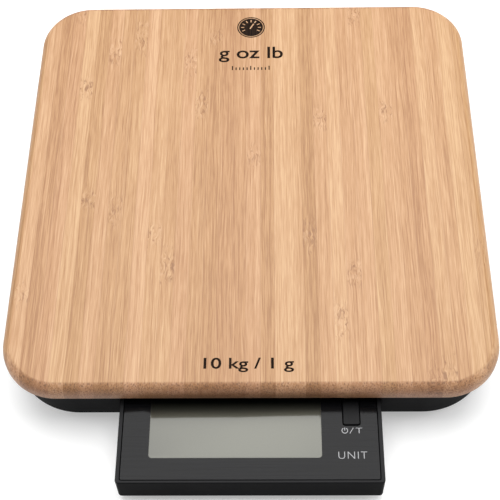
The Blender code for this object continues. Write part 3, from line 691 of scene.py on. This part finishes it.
def add_band(bm, points, wide, closed=False):
    count = len(points)
    pairs = []
    for index, point in enumerate(points):
        before = points[(index - 1) % count] if closed or index else point
        after = points[(index + 1) % count] if closed or index < count - 1 else point
        along = (Vector(after) - Vector(before)).normalized()
        aside = Vector((-along.y, along.x)) * wide / 2
        pairs.append([bm.verts.new((point[0] + s * aside.x, point[1] + s * aside.y, 0))
                      for s in (-1, 1)])
    last = count if closed else count - 1
    for index in range(last):
        a, b = pairs[index], pairs[(index + 1) % count]
        bm.faces.new((a[0], b[0], b[1], a[1]))


def circle_points(centre, radius, start, stop, steps):
    return [(centre[0] + radius * math.cos(math.radians(start + (stop - start) * i / steps)),
             centre[1] + radius * math.sin(math.radians(start + (stop - start) * i / steps)))
            for i in range(steps + 1)]


def raise_flat(bm, name, z, thick, material):
    """Give flat faces at height 0 a thickness, at a height of their own."""
    thicken(bm, thick)
    bmesh.ops.translate(bm, vec=(0, 0, z), verts=bm.verts)
    return to_object(bm, name, material)


def build_marks():
    """Plain marks burnt into the board: a dial sign, the units, ticks, the capacity."""
    z = PLATFORM_HIGH.z - MARK_SINK
    thick = MARK_THICK
    cx = PLATFORM_MID.x - 0.5 * MM
    hub = Vector((cx, PLATFORM_MID.y + 98.7 * MM, z))
    bm = bmesh.new()
    add_band(bm, circle_points(hub, 7.1 * MM, 0, 360, 72)[:-1], 0.6 * MM, closed=True)
    ring = raise_flat(bm, "dial_ring", z, thick, "burnt")
    bm = bmesh.new()
    rod(hub, 6.4 * MM, z, z + thick, 72)(bm)
    dial = to_object(bm, "dial_mark", "burnt")
    strokes = [(turn, 4.5 * MM, 1.7 * MM, 0.55 * MM) for turn in range(-30, 211, 30)]
    strokes.append((62, 0.9 * MM, 4.2 * MM, 0.7 * MM))
    cuts = []
    for turn, out, long, wide in strokes:
        angle = math.radians(turn)
        spot = hub + Vector((math.cos(angle), math.sin(angle), 0)) * out
        cuts.append(bar(spot, z - MM, z + MM, long, wide, turn))
    carve(dial, *cuts)

    units = text_mesh("units_mark", "g oz lb", 10.6 * MM, (cx, PLATFORM_MID.y + 79.4 * MM), z,
                      "burnt", 33.8 * MM, thick, weight=0.012)
    bm = bmesh.new()
    row = PLATFORM_MID.y + 68.6 * MM
    for step in range(-5, 6):
        rise = 2.8 * MM if step % 5 == 0 else 1.8 * MM
        across = cx + step * 1.92 * MM
        add_band(bm, [(across, row), (across, row + rise)], 0.6 * MM)
    ticks = raise_flat(bm, "ticks_mark", z, thick, "burnt")
    capacity = text_mesh("capacity_mark", "10 kg / 1 g", 7.2 * MM,
                         (cx, PLATFORM_MID.y - 103.6 * MM), z, "burnt", 40.2 * MM, thick,
                         weight=0.014)
    for mark in (ring, dial, units, ticks, capacity):
        stand_for(mark, "platform", "bamboo")


# --------------------------------------------------------------------- base

def foot_places():
    return [middle(node) for node in sorted(NODES) if node.startswith("foot_")]


def screw_nodes():
    """The screws whose heads show in the underside."""
    return [node for node in sorted(NODES)
            if node.startswith(("base_screw_", "load_cell_screw_"))]


def build_base():
    """The lower housing: thin walls, a rounded lower edge, and all its openings."""
    centre = (0, (BASE_LOW.y + BASE_HIGH.y) / 2)
    size = (BASE_HIGH.x - BASE_LOW.x, BASE_HIGH.y - BASE_LOW.y)
    low, high = BASE_LOW.z, BASE_HIGH.z
    lip = 0.3 * MM
    floor = low + BASE_FLOOR
    sections = arc((BASE_EDGE, low + BASE_EDGE), BASE_EDGE, -90, 0, 5)
    sections += arc((lip, high - lip), lip, 0, 90, 2)
    sections += [(BASE_WALL - 0.1 * MM, high), (BASE_WALL, high - 0.1 * MM), (BASE_WALL, floor)]
    bm = loft(bmesh.new(), centre, size, BASE_CORNER, sections, 24)
    housing = to_object(bm, "base_housing", "base")

    tray_width = FILM_HIGH.x - FILM_LOW.x + 2 * (RIM_SIDE + 0.3 * MM)
    deck_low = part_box("base_deck")[1][2] - 1.4 * MM
    mouth = prism((0, BASE_LOW.y), (tray_width + 1.0 * MM, 8 * MM), 0.3 * MM, floor, deck_low, 2)
    door_low, door_high = box("battery_door")
    door_mid = middle("battery_door")
    door_size = [door_high[i] - door_low[i] + 0.6 * MM for i in (0, 1)]
    door = prism(door_mid, door_size, 1.5 * MM, low - MM, floor + MM)
    notch = prism((door_mid.x, door_high.y + 1.4 * MM), (16 * MM, 5 * MM), 1.2 * MM,
                  low - MM, low + 0.7 * MM)
    recesses = [rod(spot, 6.3 * MM, low - MM, low + 0.6 * MM) for spot in foot_places()]
    holes = []
    for node in screw_nodes():
        mid = middle(node)
        holes.append(rod(mid, 3.1 * MM, low - MM, floor - 0.2 * MM))
        holes.append(rod(mid, 1.6 * MM, floor - 0.4 * MM, floor + MM, 20))
    carve(housing, mouth, door, notch, *recesses, *holes)
    soften(housing, 0.18 * MM)
    stand_for(housing, "base", "base_black", "base_shell")
    return housing


def build_feet():
    """Rubber feet with a soft edge and a shallow ring in the underside."""
    for node in sorted(NODES):
        if not node.startswith("foot_"):
            continue
        low, high = box(node)
        mid = middle(node)
        radius = (high.x - low.x) / 2
        soft = 0.6 * MM
        profile = [(0, high.z), (radius, high.z)]
        profile += [(radius - soft + soft * math.cos(math.radians(a)),
                     low.z + soft - soft * math.sin(math.radians(a))) for a in range(0, 91, 18)]
        profile += [(3.6 * MM, low.z), (3.3 * MM, low.z + 0.3 * MM), (2.7 * MM, low.z + 0.3 * MM),
                    (2.4 * MM, low.z), (0, low.z)]
        foot = turned(f"rubber_{node}", "rubber", mid, profile, 40)
        stand_for(foot, "base", "rubber", node)


def build_screws():
    """The screws that show underneath, with domed heads and crossed recesses."""
    for number, node in enumerate(screw_nodes()):
        low, high = box(node)
        mid = middle(node)
        radius = (high.x - low.x) / 2
        dome = 0.35 * MM
        shank = 1.3 * MM
        profile = [(0, high.z), (shank, high.z), (shank, low.z + 1.2 * MM),
                   (radius, low.z + 1.2 * MM), (radius, low.z + dome)]
        profile += [(radius * math.cos(math.radians(a)), low.z + dome * (1 - math.sin(
            math.radians(a)))) for a in (20, 45, 70)]
        profile += [(0, low.z)]
        screw = turned(f"fixing_{node}", "screw", mid, profile, 32)
        cross = [bar(mid, low.z - 0.1 * MM, low.z + 0.8 * MM, 2.9 * MM, 0.62 * MM,
                     17 + 23 * number + extra) for extra in (0, 90)]
        carve(screw, *cross)
        stand_for(screw, "base", "screw_steel", node)


def build_door():
    """The battery door, with grip ribs and a thumb hollow by its latch."""
    low, high = box("battery_door")
    mid = middle("battery_door")
    size = (high.x - low.x, high.y - low.y)
    lip = 0.25 * MM
    sections = arc((lip, low.z + lip), lip, -90, 0, 3) + [(0, high.z)]
    bm = loft(bmesh.new(), mid, size, 1.2 * MM, sections, 8)
    door = to_object(bm, "battery_cover", "base")
    grooves = [prism((mid.x, high.y - (4.0 + 1.7 * row) * MM), (15 * MM, 0.7 * MM), 0.3 * MM,
                     low.z - MM, low.z + 0.45 * MM, 3) for row in range(5)]
    thumb = prism((mid.x, high.y), (11 * MM, 2.6 * MM), 1.0 * MM, low.z - MM, low.z + 0.7 * MM)
    carve(door, thumb, *grooves)
    soften(door, 0.1 * MM)
    stand_for(door, "battery_door", "base_black", "battery_door")


# ------------------------------------------------------------------- drawer

def build_tray():
    """The drawer's tray: a rim around the plate, and stops at its sides."""
    front, back = TRAY_LOW.y, TRAY_HIGH.y
    pocket_low, pocket_high = FILM_LOW, FILM_HIGH
    half = pocket_high.x + RIM_SIDE + 0.3 * MM
    centre = (0, (front + back) / 2)
    size = (2 * half, back - front)
    low, high = TRAY_LOW.z, TRAY_HIGH.z
    edge = 0.7 * MM
    lip = 0.45 * MM
    sections = arc((edge, low + edge), edge, -90, 0, 4) + arc((lip, high - lip), lip, 0, 90, 4)
    bm = loft(bmesh.new(), centre, size, TRAY_CORNER, sections, 10)
    tray = to_object(bm, "drawer_tray", "drawer")
    plate_mid = middle("overlay_film")
    plate = (pocket_high.x - pocket_low.x + 0.7 * MM, pocket_high.y - pocket_low.y + 0.7 * MM)
    cover_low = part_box("display_cover")[0][2]
    inner = [side - 3 * MM for side in plate]
    hollow = prism(plate_mid, inner, 0.8 * MM, low + 1.5 * MM, cover_low)
    pocket = prism(plate_mid, plate, 0.9 * MM, cover_low - 0.3 * MM, high + MM, 6)
    slot_mid = middle("ribbon_cable")
    slot = prism((slot_mid.x, back), (13 * MM, 12 * MM), 0.5 * MM, 9.6 * MM, 13.4 * MM, 3)
    carve(tray, hollow, pocket, slot)
    soften(tray, 0.12 * MM)
    stop_front = BASE_LOW.y + BASE_WALL + 0.3 * MM
    stops = [prism((side * half, stop_front + 2 * MM), (4 * MM, 4 * MM), 0.4 * MM, 6 * MM,
                   12 * MM, 3) for side in (-1, 1)]
    carve(tray, *stops, operation="UNION")
    stand_for(tray, "drawer", "drawer_black", "display_tray")


def build_plate():
    """The printed film with its window and key slot, on the display cover."""
    mid = middle("overlay_film")
    size = (FILM_HIGH.x - FILM_LOW.x, FILM_HIGH.y - FILM_LOW.y)
    lip = 0.12 * MM
    top = FILM_HIGH.z
    sections = [(0, FILM_LOW.z)] + arc((lip, top - lip), lip, 0, 90, 3)
    bm = loft(bmesh.new(), mid, size, 0.8 * MM, sections, 8)
    film = to_object(bm, "display_film", "film")
    lens_mid = middle("window_lens")
    lens = (LENS_HIGH.x - LENS_LOW.x, LENS_HIGH.y - LENS_LOW.y)
    seam = 0.04 * MM
    window = prism(lens_mid, [side + 2 * seam for side in lens], WINDOW_CORNER + seam,
                   FILM_LOW.z - MM, top + MM, 10)
    key_mid = middle("tare_key")
    slot = prism(key_mid, [side + 2 * 0.4 * MM for side in key_size()], KEY_CORNER + 0.4 * MM,
                 FILM_LOW.z - MM, top + MM, 8)
    carve(film, window, slot)
    stand_for(film, "drawer", "film_black", "overlay_film")

    sections = [(0, LENS_LOW.z)] + arc((0.05 * MM, top - 0.05 * MM), 0.05 * MM, 0, 90, 2)
    bm = loft(bmesh.new(), lens_mid, lens, WINDOW_CORNER, sections, 10)
    pane = to_object(bm, "display_window", "lcd")
    stand_for(pane, "drawer", "clear_plastic", "window_lens")


def key_size():
    """The key's top, inside the flange that gives its node's box."""
    return (KEY_HIGH.x - KEY_LOW.x - 3.2 * MM, KEY_HIGH.y - KEY_LOW.y - 3.2 * MM)


def build_tare_key():
    """The raised key: a slightly dished top with rounded edges, and its flange."""
    mid = middle("tare_key")
    width, depth = key_size()
    low, high = KEY_LOW.z, KEY_HIGH.z
    cover_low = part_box("display_cover")[0][2]
    edge = 0.42 * MM
    flange = 1.6 * MM
    sections = [(flange + 2.2 * MM, low), (flange + 1.6 * MM, cover_low - 1.6 * MM),
                (0, cover_low - 1.6 * MM), (0, cover_low - 0.6 * MM),
                (flange, cover_low - 0.55 * MM)]
    sections += [(flange + inset, z) for inset, z in arc((edge, high - edge), edge, 0, 90, 5)]
    sections += [(flange + 1.2 * MM, high - 0.03 * MM), (flange + 2.2 * MM, high - 0.09 * MM)]
    bm = loft(bmesh.new(), mid, (width + 2 * flange, depth + 2 * flange),
              KEY_CORNER + flange, sections, 8)
    key = to_object(bm, "power_tare_key", "key", 40)
    stand_for(key, "tare_key", "key_black", "tare_key")


def build_legends():
    """Printed on the film: the power sign, a slash and T for tare, and UNIT."""
    z = FILM_HIGH.z - LEGEND_SINK
    thick = LEGEND_THICK
    x = middle("tare_key").x
    row = KEY_LOW.y - 1.0 * MM
    sign = Vector((x - 3.1 * MM, row))
    radius = 1.25 * MM
    bm = bmesh.new()
    add_band(bm, circle_points(sign, radius, 118, 422, 28), 0.32 * MM)
    add_band(bm, [sign, sign + Vector((0, radius * 1.12))], 0.32 * MM)
    add_band(bm, [(x - 0.9 * MM, row - 1.35 * MM), (x + 0.75 * MM, row + 1.35 * MM)], 0.28 * MM)
    power = raise_flat(bm, "power_legend", z, thick, "legend")
    tare = text_mesh("tare_legend", "T", 2.5 * MM, (x + 3.2 * MM, row), z, "legend",
                     2.9 * MM, thick, weight=-0.016)
    unit = text_mesh("unit_legend", "UNIT", 3.3 * MM, (UNIT_MID.x, UNIT_MID.y), z, "legend",
                     12.6 * MM, thick, 1.12, -0.018)
    for mark in (power, tare, unit):
        stand_for(mark, "drawer", "film_black")


# ------------------------------------------------------- copies of pieces that flex in use

def flexing_copy(node, name, material):
    """A still copy of a node that runs between the base and a moving body, with softened edges; the
    node is hidden.
    """
    source = NODES[node]
    mesh = source.data.copy()
    mesh.transform(source.matrix_world)
    mesh.materials.clear()
    mesh.materials.append(MATERIALS[material])
    made = bpy.data.objects.new(name, mesh)
    bpy.context.scene.collection.objects.link(made)
    soften(made, 0.1 * MM)
    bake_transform(made)
    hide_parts(node)


def build_flexing():
    """Still copies of the load cell, whose thin middle bends in use, and of the ribbon cable, which
    folds up in use.
    """
    flexing_copy("load_cell", "load_cell_beam", "aluminium")
    flexing_copy("ribbon_cable", "flat_cable", "cable")


# ------------------------------------------------------- nodes that are kept

def paint_kept_nodes():
    """Give every node that stays a worked material, by its name."""
    rules = [
        ("base_deck", "deck"), ("drawer_rail", "deck"), ("battery_box", "deck"),
        ("display_cover", "drawer"), ("unit_key", "key"), ("lcd_glass", "lcd"),
        ("lcd_holder", "white_plastic"), ("zebra_strip", "zebra"), ("load_cell_spacer", "steel"),
        ("load_cell_screw", "screw"), ("load_cell", "aluminium"), ("platform_bracket", "steel"),
        ("contact_", "steel"), ("bracket_screw", "screw"), ("spacer_screw", "screw"),
        ("display_screw", "screw"), ("display_pcb", "circuit"), ("terminal_board", "circuit"),
        ("chip_cover", "epoxy"), ("tare_switch", "epoxy"), ("unit_switch", "epoxy"),
        ("strain_gauge", "silicone"), ("battery_1", "battery"), ("battery_2", "battery"),
        ("sensor_wires", "cable"), ("battery_wires", "cable"), ("ribbon_cable", "cable"),
    ]
    for name, node in NODES.items():
        for start, material in rules:
            if name.startswith(start):
                node.data.materials.clear()
                node.data.materials.append(MATERIALS[material])
                break


# ---------------------------------------------------------- camera and light

def build_camera():
    """The viewpoint: in front of the scale, looking steeply down at it."""
    camera = bpy.data.cameras.new("camera")
    camera.sensor_width = 36.0
    camera.lens = 83.5
    camera.clip_start = 0.01
    made = bpy.data.objects.new("camera", camera)
    bpy.context.scene.collection.objects.link(made)
    made.location = Vector((PLATFORM_MID.x, PLATFORM_MID.y, PLATFORM_HIGH.z)) + CAMERA_FROM_TOP
    turn = Matrix.Rotation(math.radians(CAMERA_YAW), 4, "Z")
    tilt = Matrix.Rotation(math.radians(90 - CAMERA_DOWN), 4, "X")
    roll = Matrix.Rotation(math.radians(CAMERA_ROLL), 4, "Z")
    made.rotation_euler = (turn @ tilt @ roll).to_euler()
    bpy.context.scene.camera = made


def area_light(name, place, target, size, power):
    light = bpy.data.lights.new(name, "AREA")
    light.shape = "RECTANGLE"
    light.size, light.size_y = size
    light.energy = power
    made = bpy.data.objects.new(name, light)
    made.location = place
    made.rotation_euler = (Vector(target) - Vector(place)).to_track_quat("-Z", "Y").to_euler()
    bpy.context.scene.collection.objects.link(made)


def build_studio():
    bm = bmesh.new()
    bmesh.ops.create_grid(bm, x_segments=8, y_segments=8, size=FLOOR_HALF)
    mesh = bpy.data.meshes.new("floor")
    bm.to_mesh(mesh)
    bm.free()
    floor = bpy.data.objects.new("floor", mesh)
    bpy.context.scene.collection.objects.link(floor)
    mesh.materials.append(floor_material())

    area_light("softbox", (0.02, 0.48, 1.36), (0, 0.05, 0), (1.8, 1.6), 36)
    area_light("right_side", (1.25, 0.15, 0.62), (0, 0, 0.02), (0.7, 1.1), 8)
    area_light("left_side", (-1.25, 0.15, 0.62), (0, 0, 0.02), (0.7, 1.1), 5)

    world = bpy.data.worlds.new("studio")
    world.use_nodes = True
    world.node_tree.nodes["Background"].inputs[0].default_value = (1.0, 1.0, 1.0, 1)
    world.node_tree.nodes["Background"].inputs[1].default_value = 0.28
    scene = bpy.context.scene
    scene.world = world
    scene.view_settings.view_transform = "Standard"
    scene.view_settings.look = "None"


def main():
    build_camera()
    build_studio()
    build_platform()
    build_marks()
    build_base()
    build_feet()
    build_screws()
    build_door()
    build_tray()
    build_plate()
    build_tare_key()
    build_legends()
    build_flexing()
    paint_kept_nodes()


main()
